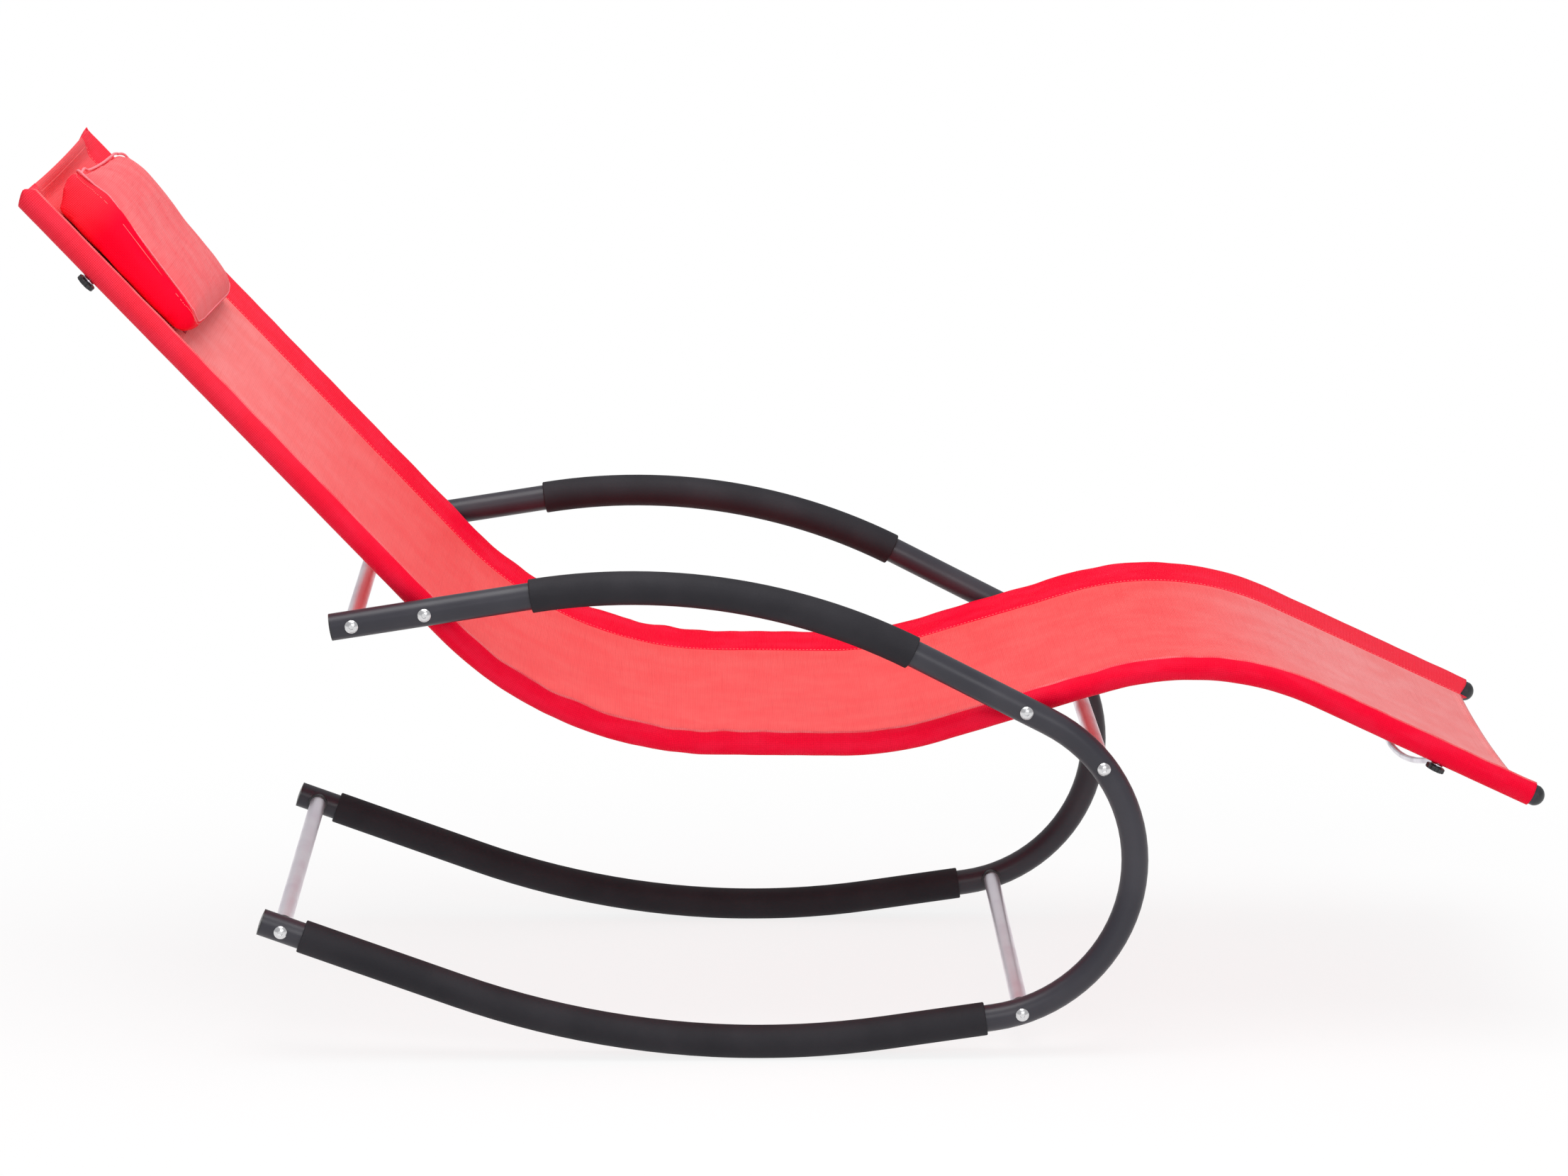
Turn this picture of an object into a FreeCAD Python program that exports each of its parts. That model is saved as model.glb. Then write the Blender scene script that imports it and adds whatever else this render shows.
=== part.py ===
import FreeCAD, Part
import math
import os
from FreeCAD import Vector

os.makedirs("parts", exist_ok=True)

# Rocking chaise lounge, in millimetres. X runs from the head to the foot, Y to the sitter's left,
# Z up. The origin is on the floor, under the middle of the bounding box.

# Side hoops: one bent tube each, laid out from the point where the rocker touches the floor
hoop_tube = 28.6
hoop_wall = 1.5
hoop_spacing = 560.0
rocker_radius = 937.0
rocker_rear_angle = 20.3
rocker_front_angle = 8.0
rocker_tail = 219.0
front_run = 116.0
front_bend_radius = 172.0
front_bend_angle = 144.6
arm_front_run = 156.0
arm_radius = 655.0
arm_angle = 36.2
arm_tail = 214.0
touch_x = -29.6

# Foam sleeves on the arm and the rocker, as stretches measured from the tube's rear ends
sleeve_diameter = 35.6
sleeve_clearance = 0.35
sleeve_edge = 1.5
sleeve_pressed_flat = 1.2
rocker_sleeve_inset = 44.0
rocker_sleeve_to_bar = 39.0
arm_sleeve_inset = 210.0
arm_sleeve_length = 412.0

# Seat rails: bent tubes laid out from the head end
rail_tube = 22.2
rail_wall = 1.5
rail_inboard = 30.0
back_angle = 46.9
back_run = 618.0
hip_radius = 402.0
hip_angle = 46.2
seat_run = 127.0
thigh_radius = 342.0
thigh_angle = 17.4
thigh_run = 183.0
knee_radius = 322.0
knee_angle = 42.0
foot_run = 256.5

# Sling: one woven sheet with a sewn hem round each rail
sling_thickness = 1.2
hem_slack = 0.3
hem_seam_inboard = 42.0
sling_sag = 5.0
foot_edge_inset = 10.0
foot_edge_overlap = 16.0
hem_end_inset = 4.0
head_overhang = 9.0

# Cross bars between the hoops
bar_tube = 18.0
bar_wall = 1.2
bar_end_inset = 21.5
saddle_diameter = 22.0
saddle_seat = 2.5
saddle_wrap = 4.0
insert_length = 20.0
insert_clearance = 0.1
front_lower_bar_from_touch = 277.0
front_upper_bar_before_arm = 76.0

# Screws with button heads, used for the bars and the seat
screw_diameter = 8.0
screw_hole_clearance = 0.3
thread_clearance = 0.1
screw_length = 42.0
head_diameter = 14.0
head_height = 4.4
head_rim = 1.0
head_gap = 0.1
hex_key = 5.0
hex_depth = 2.5

# Seat joints: the rear screw sets each rail on its hoop, the front one goes where the two cross
rear_seat_screw_from_arm_end = 98.4
rear_seat_screw_from_rail_head = 589.8
spacer_diameter = 20.0
spacer_clearance = 0.25
hem_hole_clearance = 0.6
rivet_body = 11.0
rivet_flange = 13.5
rivet_flange_height = 0.8
rivet_length = 13.0
rivet_clearance = 0.1

# Spreaders under the rails, and the star knobs that hold them
spreader_from_head = 101.0
spreader_from_foot = 109.5
spreader_rod = 7.0
spreader_depth = 22.0
spreader_flat_length = 26.0
spreader_flat_thickness = 2.0
spreader_flat_width = 14.0
spreader_flare_length = 26.0
seat_clearance = 0.3
stud_diameter = 6.0
stud_length = 19.0
knob_diameter = 21.0
knob_height = 5.0
knob_boss_diameter = 13.0
knob_boss_height = 0.6
knob_lobes = 8
knob_scallop_radius = 2.6
knob_scallop_depth = 1.6
knob_edge = 1.0
small_rivet_body = 9.0
small_rivet_flange = 11.0
small_rivet_length = 10.0

# Tube plugs
plug_skirt = 18.0
plug_skirt_clearance = 0.15
plug_rim = 1.6
hoop_plug_dome = 1.2
foot_plug_dome = 9.0
head_plug_dome = 3.0

# Headrest pillow on the backrest, and the tapes that hold it
pillow_from_head = 22.0
pillow_length = 198.0
pillow_width = 392.0
pillow_head_height = 50.0
pillow_foot_height = 29.0
pillow_middle_height = 46.6
pillow_quarter_share = 0.97
pillow_edge_share = 0.92
pillow_side_share = 0.85
pillow_bulge_share = 0.55
pillow_edge_radius = 12.0
pillow_nose_height = 3.0
pillow_head_round = 14.0
pillow_head_bulge = 6.0
pillow_foot_round = 20.0
pillow_cover = 1.2
tape_width = 25.0
tape_spacing = 240.0
hook_tape_length = 180.0
loop_tape_length = 110.0
tape_thickness = 1.0
tape_gap = 0.3
hook_tape_from_head = 42.0

hoop_radius = hoop_tube / 2
sleeve_radius = sleeve_diameter / 2
rail_radius = rail_tube / 2
hoop_y = hoop_spacing / 2
rail_y = hoop_y - rail_inboard
hem_inner_radius = rail_radius + hem_slack
hem_outer_radius = hem_inner_radius + sling_thickness
bar_radius = bar_tube / 2


class Trail:
    """A line of tangent runs and bends in the XZ plane, measured from its start."""

    def __init__(self, x, z, slope):
        self.stretches = []
        self.point = Vector(x, 0, z)
        self.slope = slope
        self.length = 0.0

    def run(self, length):
        self.stretches.append((self.length, self.point, self.slope, length, None))
        self.point = self.point + along(self.slope) * length
        self.length += length
        return self

    def bend(self, radius, turn):
        length = radius * math.radians(abs(turn))
        centre = self.point + normal(self.slope) * math.copysign(radius, turn)
        self.stretches.append((self.length, self.point, self.slope, length, (centre, radius, turn)))
        self.slope += turn
        self.point = centre - normal(self.slope) * math.copysign(radius, turn)
        self.length += length
        return self

    def at(self, distance):
        """Point and slope at a distance from the start."""
        for start, point, slope, length, arc in self.stretches:
            if distance <= start + length or start == self.stretches[-1][0]:
                share = distance - start
                if arc is None:
                    return point + along(slope) * share, slope
                centre, radius, turn = arc
                here = slope + turn * share / length
                return centre - normal(here) * math.copysign(radius, turn), here

    def nearest(self, target):
        """Distance from the start of the place nearest to a point that lies on the line."""
        best = None
        for start, point, slope, length, arc in self.stretches:
            if arc is None:
                share = (target - point).dot(along(slope))
            else:
                centre, radius, turn = arc
                spoke = (target - centre) * math.copysign(1.0, -turn)
                here = math.degrees(math.atan2(-spoke.x, spoke.z))
                share = ((here - slope + 180) % 360 - 180) * length / turn
            share = min(max(share, 0), length)
            gap = (self.at(min(start + share, start + length - 1e-9))[0] - target).Length
            if best is None or gap < best[0]:
                best = (gap, start + share)
        return best[1]

    def wire(self, begin, end):
        """The line between two distances, as one wire."""
        edges = []
        for start, point, slope, length, arc in self.stretches:
            low = max(begin, start)
            high = min(end, start + length)
            if high - low < 0.001:
                continue
            ends = []
            for distance in (low, (low + high) / 2, high):
                ends.append(self.at(min(distance, start + length - 1e-9))[0])
            if arc is None:
                edges.append(Part.LineSegment(ends[0], ends[2]).toShape())
            else:
                edges.append(Part.Arc(ends[0], ends[1], ends[2]).toShape())
        return Part.Wire(edges)

    def tube(self, begin, end, outer, inner=0.0):
        """A round tube along the line, solid when it has no inner radius."""
        place, slope = self.at(begin)
        spine = self.wire(begin, end)
        solid = spine_sweep(spine, [Part.Circle(place, along(slope), outer)])
        if inner > 0:
            solid = solid.cut(spine_sweep(spine, [Part.Circle(place, along(slope), inner)]))
        return solid


def along(slope):
    angle = math.radians(slope)
    return Vector(math.cos(angle), 0, math.sin(angle))


def normal(slope):
    angle = math.radians(slope)
    return Vector(-math.sin(angle), 0, math.cos(angle))


def spine_sweep(spine, curves):
    profile = Part.Wire([curve.toShape() for curve in curves])
    return spine.makePipeShell([profile], True, False)


def shifted(shape, vector):
    moved = shape.copy()
    moved.translate(vector)
    return moved


def mirrored(shape):
    return shape.mirror(Vector(0, 0, 0), Vector(0, 1, 0))


def standing(shape, point, direction, side=Vector(0, 1, 0)):
    """Turns a shape made along Z so that Z points along direction and X along side."""
    turn = FreeCAD.Rotation(side, side.cross(direction) * -1, direction, "ZXY")
    placed = shape.copy()
    placed.Placement = FreeCAD.Placement(point, turn)
    return placed


def pin(point, direction, radius, length):
    return Part.makeCylinder(radius, length, point, direction)


def turned(points):
    """A solid of revolution about Z from (radius, height) points, joined by straight lines."""
    corners = [Vector(radius, 0, height) for radius, height in points]
    outline = Part.makePolygon(corners + [corners[0]])
    return Part.Face(outline).revolve(Vector(0, 0, 0), Vector(0, 0, 1), 360)


def domed(radius, height, rim):
    """A disc with a straight rim and a domed top, standing on Z = 0."""
    shoulder = Vector(radius, 0, rim)
    top = Vector(0, 0, rim + height)
    sphere = (radius * radius + height * height) / (2 * height)
    half = math.asin(min(1.0, radius / sphere)) / 2
    middle = Vector(sphere * math.sin(half), 0, rim + height - sphere * (1 - math.cos(half)))
    outline = Part.Wire([
        Part.LineSegment(Vector(0, 0, 0), Vector(radius, 0, 0)).toShape(),
        Part.LineSegment(Vector(radius, 0, 0), shoulder).toShape(),
        Part.Arc(shoulder, middle, top).toShape(),
        Part.LineSegment(top, Vector(0, 0, 0)).toShape(),
    ])
    return Part.Face(outline).revolve(Vector(0, 0, 0), Vector(0, 0, 1), 360)


def hex_prism(key, height):
    corner = key / math.sqrt(3)
    points = [Vector(corner * math.cos(math.radians(60 * i)), corner * math.sin(math.radians(60 * i)), 0)
              for i in range(7)]
    return Part.Face(Part.makePolygon(points)).extrude(Vector(0, 0, height))


def write(name, *solids):
    shape = solids[0] if len(solids) == 1 else Part.makeCompound(list(solids))
    for solid in shape.Solids:
        if not solid.isValid() or solid.Volume <= 0:
            print("check", name, solid.isValid(), solid.Volume)
    shape.exportStep("parts/" + name + ".step")
    print(name, len(shape.Solids), round(shape.Volume / 1000.0, 2))


def write_pair(name, shape):
    """The sitter's right-hand piece, at negative Y, and its mirror image on the left."""
    write("right_" + name, shape)
    write("left_" + name, mirrored(shape))


# The two lines that everything hangs on
rocker_centre = Vector(touch_x, 0, sleeve_radius + rocker_radius - sleeve_pressed_flat)
rocker_start = rocker_centre - normal(-rocker_rear_angle) * rocker_radius
tail_start = rocker_start - along(-rocker_rear_angle) * rocker_tail
hoop = Trail(tail_start.x, tail_start.z, -rocker_rear_angle)
hoop.run(rocker_tail)
hoop.bend(rocker_radius, rocker_rear_angle + rocker_front_angle)
touch_distance = rocker_tail + rocker_radius * math.radians(rocker_rear_angle)
hoop.run(front_run)
hoop.bend(front_bend_radius, front_bend_angle)
front_bend_end = hoop.length
hoop.run(arm_front_run)
hoop.bend(arm_radius, arm_angle)
hoop.run(arm_tail)

rear_seat_place = hoop.length - rear_seat_screw_from_arm_end
rail_head = hoop.at(rear_seat_place)[0] - along(-back_angle) * rear_seat_screw_from_rail_head
rail = Trail(rail_head.x, rail_head.z, -back_angle)
rail.run(back_run)
rail.bend(hip_radius, hip_angle)
rail.run(seat_run)
rail.bend(thigh_radius, thigh_angle)
rail.run(thigh_run)
rail.bend(knee_radius, -knee_angle)
rail.run(foot_run)

right_hoop = Vector(0, -hoop_y, 0)
right_rail = Vector(0, -rail_y, 0)
outward = Vector(0, -1, 0)

# Places of the cross bars and the seat screws along the hoop
bar_places = {
    "rear_lower": bar_end_inset,
    "front_lower": touch_distance + front_lower_bar_from_touch,
    "front_upper": front_bend_end - front_upper_bar_before_arm,
    "rear_upper": hoop.length - bar_end_inset,
}
front_of_hoop = hoop.wire(front_bend_end, hoop.length - arm_tail)
seat_of_rail = rail.wire(back_run, rail.length)
crossing = front_of_hoop.distToShape(seat_of_rail)[1][0][0]
seat_places = [hoop.nearest(crossing), rear_seat_place]

# Side hoops: hollow tubes, cross-drilled for the bars and the seat
hoop_shape = hoop.tube(0, hoop.length, hoop_radius, hoop_radius - hoop_wall)
hole_radius = screw_diameter / 2 + screw_hole_clearance
for distance in list(bar_places.values()) + seat_places:
    place, slope = hoop.at(distance)
    hoop_shape = hoop_shape.cut(pin(place - outward * hoop_tube, outward, hole_radius, 2 * hoop_tube))
write_pair("side_hoop", shifted(hoop_shape, right_hoop))


def sleeve(begin, end):
    """A foam sleeve between two distances along the hoop, with rounded ends."""
    body = hoop.tube(begin, end, sleeve_radius, hoop_radius + sleeve_clearance)
    rims = [edge for edge in body.Edges
            if len(edge.Vertexes) == 1 and abs(edge.Length - math.pi * sleeve_diameter) < 0.01
            and min((edge.CenterOfMass - hoop.at(distance)[0]).Length for distance in (begin, end)) < 0.1]
    return body.makeFillet(sleeve_edge, rims)


# The rocker's sleeve is pressed flat where the chair stands
under_floor = Part.makeBox(2 * rocker_radius, 2 * sleeve_diameter, sleeve_diameter,
                           Vector(-rocker_radius, -sleeve_diameter, -sleeve_diameter))
rocker_sleeve = sleeve(rocker_sleeve_inset, bar_places["front_lower"] - rocker_sleeve_to_bar)
write_pair("rocker_sleeve", shifted(rocker_sleeve.cut(under_floor), right_hoop))
write_pair("arm_sleeve", shifted(
    sleeve(hoop.length - arm_sleeve_inset - arm_sleeve_length, hoop.length - arm_sleeve_inset), right_hoop))


def tube_plug(tube_radius, wall, dome, skirt_length):
    """A plug with a hollow skirt inside the tube and a domed cap on its end, standing on Z = 0."""
    cap = domed(tube_radius, dome, plug_rim)
    skirt_radius = tube_radius - wall - plug_skirt_clearance
    skirt = turned([
        (skirt_radius - plug_rim, -skirt_length),
        (skirt_radius - plug_rim / 2, -skirt_length),
        (skirt_radius, -skirt_length + plug_rim),
        (skirt_radius, 0),
        (skirt_radius - plug_rim, 0),
    ])
    return cap.fuse(skirt).removeSplitter()


hoop_plug = tube_plug(hoop_radius, hoop_wall, hoop_plug_dome, bar_end_inset - screw_diameter)
tail_point, tail_slope = hoop.at(0)
arm_end_point, arm_end_slope = hoop.at(hoop.length)
write_pair("rocker_end_plug", standing(hoop_plug, tail_point + right_hoop, along(tail_slope) * -1))
write_pair("arm_end_plug", standing(hoop_plug, arm_end_point + right_hoop, along(arm_end_slope)))

# Cross bars, with threaded inserts in their ends and saddles against the round hoops
bar_half = hoop_y - hoop_radius - saddle_seat
insert_radius = bar_radius - bar_wall - insert_clearance
thread_radius = screw_diameter / 2 + thread_clearance
for name, distance in bar_places.items():
    place, slope = hoop.at(distance)
    end = place + outward * bar_half
    outer = pin(end, outward * -1, bar_radius, 2 * bar_half)
    inner = pin(end, outward * -1, bar_radius - bar_wall, 2 * bar_half)
    write(name + "_crossbar", outer.cut(inner))
    insert = pin(end, outward * -1, insert_radius, insert_length)
    insert = insert.cut(pin(end, outward * -1, thread_radius, insert_length))
    write(name + "_bar_inserts", insert, mirrored(insert))
    saddle = pin(end, outward, saddle_diameter / 2, saddle_seat + saddle_wrap)
    saddle = saddle.cut(pin(end, outward, hole_radius, saddle_seat + saddle_wrap))
    trough = hoop.tube(max(0, distance - saddle_diameter), min(hoop.length, distance + saddle_diameter),
                       hoop_radius + head_gap)
    saddle = saddle.cut(shifted(trough, right_hoop))
    write(name + "_saddles", saddle, mirrored(saddle))


def button_screw(length):
    """A button-head screw along Z: the head's underside is at Z = 0 and the shank goes down."""
    head = domed(head_diameter / 2, head_height - head_rim, head_rim)
    recess = shifted(hex_prism(hex_key, hex_depth), Vector(0, 0, head_height - hex_depth))
    shank = Part.makeCylinder(screw_diameter / 2, length, Vector(0, 0, -length))
    return head.cut(recess).fuse(shank).removeSplitter()


screw = button_screw(screw_length)
screw_y = hoop_y + hoop_radius + head_gap
bar_screws = []
for distance in bar_places.values():
    place, slope = hoop.at(distance)
    placed = standing(screw, place + outward * screw_y, outward, along(slope))
    bar_screws += [placed, mirrored(placed)]
write("crossbar_screws", *bar_screws)
seat_screws = []
for distance in seat_places:
    place, slope = hoop.at(distance)
    placed = standing(screw, place + outward * screw_y, outward, along(slope))
    seat_screws += [placed, mirrored(placed)]
write("seat_screws", *seat_screws)

# Seat rails: hollow tubes, drilled for the rivet nuts
rail_shape = shifted(rail.tube(0, rail.length, rail_radius, rail_radius - rail_wall), right_rail)
rivet_hole = rivet_body / 2 + rivet_clearance
small_rivet_hole = small_rivet_body / 2 + rivet_clearance
for distance in seat_places:
    place, slope = hoop.at(distance)
    rail_shape = rail_shape.cut(pin(place + right_rail, outward, rivet_hole, rail_tube))
spreader_places = {
    "head": spreader_from_head,
    "foot": rail.length - spreader_from_foot,
}
for distance in spreader_places.values():
    place, slope = rail.at(distance)
    rail_shape = rail_shape.cut(pin(place + right_rail, normal(slope) * -1, small_rivet_hole, rail_tube))
write_pair("seat_rail", rail_shape)


def rivet_nut(body, flange, length, thread):
    """A blind rivet nut along Z: its flange stands on Z = 0 and its body goes down."""
    nut = Part.makeCylinder(flange / 2, rivet_flange_height)
    nut = nut.fuse(Part.makeCylinder(body / 2, length, Vector(0, 0, -length)))
    bore = Part.makeCylinder(thread, length + rivet_flange_height, Vector(0, 0, -length))
    return nut.cut(bore).removeSplitter()


seat_nut = rivet_nut(rivet_body, rivet_flange, rivet_length, thread_radius)
seat_nuts = []
spacers = []
spacer_cuts = []
for distance in seat_places:
    place, slope = hoop.at(distance)
    nut_place = place + outward * (rail_y + rail_radius + head_gap)
    placed = standing(seat_nut, nut_place, outward)
    seat_nuts += [placed, mirrored(placed)]
    ring = pin(place + right_rail, outward, spacer_diameter / 2, rail_inboard)
    ring = ring.cut(pin(place + right_rail, outward, rivet_flange / 2 + head_gap, rail_inboard))
    ring = ring.cut(shifted(hoop.tube(distance - spacer_diameter, distance + spacer_diameter,
                                      hoop_radius + spacer_clearance), right_hoop))
    place_on_rail = rail.nearest(place)
    ring = ring.cut(shifted(rail.tube(place_on_rail - spacer_diameter, place_on_rail + spacer_diameter,
                                      rail_radius + spacer_clearance), right_rail))
    spacers += [ring, mirrored(ring)]
    spacer_cuts.append(pin(place + right_rail, outward, spacer_diameter / 2 + hem_hole_clearance,
                           rail_inboard))
write("seat_rivet_nuts", *seat_nuts)
write("seat_spacers", *spacers)

# Plugs in the rails' ends
rail_foot_point, rail_foot_slope = rail.at(rail.length)
rail_head_point, rail_head_slope = rail.at(0)
write_pair("foot_plug", standing(tube_plug(rail_radius, rail_wall, foot_plug_dome, plug_skirt),
                                 rail_foot_point + right_rail, along(rail_foot_slope)))
write_pair("head_plug", standing(tube_plug(rail_radius, rail_wall, head_plug_dome, plug_skirt),
                                 rail_head_point + right_rail, along(rail_head_slope) * -1))


def hem_loop(radius, reach, offset):
    """Half outline of a hem in the (Y, normal) plane, from the seam's lower to its upper side."""
    span = reach - rail_y
    lean = math.asin((radius - offset) / abs(span))
    across = radius * math.sin(lean)
    up = radius * math.cos(lean)
    low = (rail_y - across, -up)
    high = (rail_y - across, up)
    return low, (rail_y + radius, 0.0), high


def sling_section():
    """The sling cut across, in the YZ plane: a sagging sheet that ends in a loop round each rail."""
    seam = rail_y - hem_seam_inboard
    half = sling_thickness / 2

    def point(pair):
        return Vector(0, pair[0], pair[1])

    low, far, high = hem_loop(hem_outer_radius, seam, half)
    edges = []
    upper_seam = (seam, half)
    lower_seam = (seam, -half)
    for side in (1, -1):
        a, b, c, d, e = [(side * y, z) for y, z in (lower_seam, low, far, high, upper_seam)]
        edges.append(Part.LineSegment(point(a), point(b)).toShape())
        edges.append(Part.Arc(point(b), point(c), point(d)).toShape())
        edges.append(Part.LineSegment(point(d), point(e)).toShape())
    for z in (half, -half):
        edges.append(Part.Arc(point((-seam, z)), point((0, z - sling_sag)), point((seam, z))).toShape())
    outline = Part.Wire(Part.__sortEdges__(edges))
    holes = []
    low, far, high = hem_loop(hem_inner_radius, seam + sling_thickness, 0.0)
    tip = (seam + sling_thickness, 0.0)
    for side in (1, -1):
        a, b, c, d = [(side * y, z) for y, z in (tip, low, far, high)]
        hole = [Part.LineSegment(point(a), point(b)).toShape(),
                Part.Arc(point(b), point(c), point(d)).toShape(),
                Part.LineSegment(point(d), point(a)).toShape()]
        holes.append(Part.Wire(hole))
    return outline, holes


def swept_section(wire, begin, end):
    place, slope = rail.at(begin)
    turn = FreeCAD.Rotation(along(slope), Vector(0, 1, 0), normal(slope), "XYZ")
    profile = wire.copy()
    profile.Placement = FreeCAD.Placement(place, turn)
    return rail.wire(begin, end).makePipeShell([profile], True, False)


# The sling: the sheet with both hems, closed over the rails' head ends and cut back at the foot
outline, holes = sling_section()
hem_end = rail.length - hem_end_inset
sling = swept_section(outline, 0, hem_end)
for hole in holes:
    sling = sling.cut(swept_section(hole, 0, hem_end))
head_dir = along(rail_head_slope) * -1
turn = FreeCAD.Rotation(along(rail_head_slope), Vector(0, 1, 0), normal(rail_head_slope), "XYZ")
pocket = Part.Face(outline)
pocket.Placement = FreeCAD.Placement(rail_head_point, turn)
pocket = pocket.extrude(head_dir * head_overhang)
for hole in holes:
    hollow = Part.Face(hole)
    hollow.Placement = FreeCAD.Placement(rail_head_point, turn)
    pocket = pocket.cut(hollow.extrude(head_dir * (head_overhang - sling_thickness)))
sling = sling.fuse(pocket).removeSplitter()
cut_place, cut_slope = rail.at(hem_end - foot_edge_inset)
cut_half = rail_y - foot_edge_overlap
foot_cut = Part.makeBox(2 * foot_edge_inset, 2 * cut_half, 4 * rail_tube,
                        Vector(0, -cut_half, -2 * rail_tube))
foot_cut.Placement = FreeCAD.Placement(cut_place, FreeCAD.Rotation(Vector(0, 1, 0), -cut_slope))
sling = sling.cut(foot_cut)
for cutter in spacer_cuts:
    sling = sling.cut(cutter).cut(mirrored(cutter))
boss_hole = small_rivet_flange / 2 + hem_hole_clearance
for distance in spreader_places.values():
    place, slope = rail.at(distance)
    cutter = pin(place + right_rail, normal(slope) * -1, boss_hole, rail_tube)
    sling = sling.cut(cutter).cut(mirrored(cutter))
write("seat_sling", sling)

# Spreaders: arched rods with flattened ends that lie against the hems under the rails
flat_top = hem_outer_radius + seat_clearance
flat_middle = flat_top + spreader_flat_thickness / 2
arch_half = rail_y - spreader_flat_length / 2 - spreader_flare_length
arch_drop = spreader_depth - spreader_flat_thickness / 2
arch_radius = (arch_half ** 2 + arch_drop ** 2) / (2 * arch_drop)


def rounded_bar(width, height):
    """A closed outline in the XZ plane: a flat bar with round edges."""
    half = width / 2 - height / 2
    top = height / 2
    edges = [
        Part.LineSegment(Vector(-half, 0, top), Vector(half, 0, top)).toShape(),
        Part.Arc(Vector(half, 0, top), Vector(half + top, 0, 0), Vector(half, 0, -top)).toShape(),
        Part.LineSegment(Vector(half, 0, -top), Vector(-half, 0, -top)).toShape(),
        Part.Arc(Vector(-half, 0, -top), Vector(-half - top, 0, 0), Vector(-half, 0, top)).toShape(),
    ]
    return Part.Wire(edges)


def spreader():
    """A spreader across Y, with the flats at Z = 0 and the arch bulging down."""
    lean = math.asin(arch_half / arch_radius)
    drop_point = Vector(0, -arch_half, 0)
    bottom = Vector(0, 0, -arch_drop)
    spine = Part.Wire([Part.Arc(drop_point, bottom, Vector(0, arch_half, 0)).toShape()])
    start_dir = Vector(0, math.cos(lean), -math.sin(lean))
    round_rod = Part.Wire([Part.Circle(drop_point, start_dir, spreader_rod / 2).toShape()])
    body = spine.makePipeShell([round_rod], True, False)
    flat = rounded_bar(spreader_flat_width, spreader_flat_thickness)
    flare_end = flat.copy()
    flare_end.translate(Vector(0, -arch_half - spreader_flare_length, 0))
    flare = Part.makeLoft([round_rod, flare_end], True, False)
    tongue = Part.Face(flare_end).extrude(Vector(0, -spreader_flat_length, 0))
    tip = Vector(0, -rail_y, -spreader_flat_thickness)
    round_end = Part.makeCylinder(spreader_flat_width / 2, 2 * spreader_flat_thickness, tip)
    keep = Part.makeBox(spreader_flat_width, spreader_flat_length, 2 * spreader_flat_thickness,
                        Vector(-spreader_flat_width / 2, -rail_y, -spreader_flat_thickness))
    tongue = tongue.common(round_end.fuse(keep))
    hole = Part.makeCylinder(stud_diameter / 2 + screw_hole_clearance, 2 * spreader_flat_thickness, tip)
    end = flare.fuse(tongue).cut(hole)
    return body.fuse(end).fuse(mirrored(end)).removeSplitter()


def star_knob():
    """A star knob with its stud, along Z: the boss meets the spreader at Z = 0 and the stud goes up."""
    grip = Part.makeCylinder(knob_diameter / 2, knob_height, Vector(0, 0, -knob_boss_height - knob_height))
    rim = [edge for edge in grip.Edges if abs(edge.Length - math.pi * knob_diameter) < 0.01]
    grip = grip.makeFillet(knob_edge, rim)
    reach = knob_diameter / 2 + knob_scallop_radius - knob_scallop_depth
    for lobe in range(knob_lobes):
        angle = 2 * math.pi * lobe / knob_lobes
        place = Vector(reach * math.cos(angle), reach * math.sin(angle), -knob_boss_height - knob_height)
        grip = grip.cut(Part.makeCylinder(knob_scallop_radius, knob_height, place))
    boss = Part.makeCylinder(knob_boss_diameter / 2, knob_boss_height, Vector(0, 0, -knob_boss_height))
    stud = Part.makeCylinder(stud_diameter / 2, stud_length)
    return grip.fuse(boss).fuse(stud).removeSplitter()


small_nut = rivet_nut(small_rivet_body, small_rivet_flange, small_rivet_length,
                      stud_diameter / 2 + thread_clearance)
spreader_shape = spreader()
knob_shape = star_knob()
small_nuts = []
for end, distance in spreader_places.items():
    place, slope = rail.at(distance)
    down = normal(slope) * -1
    turn = FreeCAD.Rotation(along(slope), Vector(0, 1, 0), normal(slope), "XYZ")
    bar = spreader_shape.copy()
    bar.Placement = FreeCAD.Placement(place + down * flat_middle, turn)
    write(end + "_spreader", bar)
    knob_place = place + down * (flat_top + spreader_flat_thickness + seat_clearance)
    knob = standing(knob_shape, knob_place + right_rail, normal(slope))
    write(end + "_right_knob", knob)
    write(end + "_left_knob", mirrored(knob))
    nut = standing(small_nut, place + right_rail + down * (rail_radius + head_gap), down)
    small_nuts += [nut, mirrored(nut)]
write("spreader_rivet_nuts", *small_nuts)


def sheet_height(y):
    """Upper face of the sling at a distance from the middle, along the backrest's normal."""
    seam = rail_y - hem_seam_inboard
    sphere = (seam * seam + sling_sag * sling_sag) / (2 * sling_sag)
    dip = math.sqrt(max(0.0, sphere * sphere - y * y)) - (sphere - sling_sag)
    return sling_thickness / 2 - dip


def on_backrest(distance, y, height):
    place, slope = rail.at(distance)
    return place + Vector(0, y, 0) + normal(slope) * height


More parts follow.
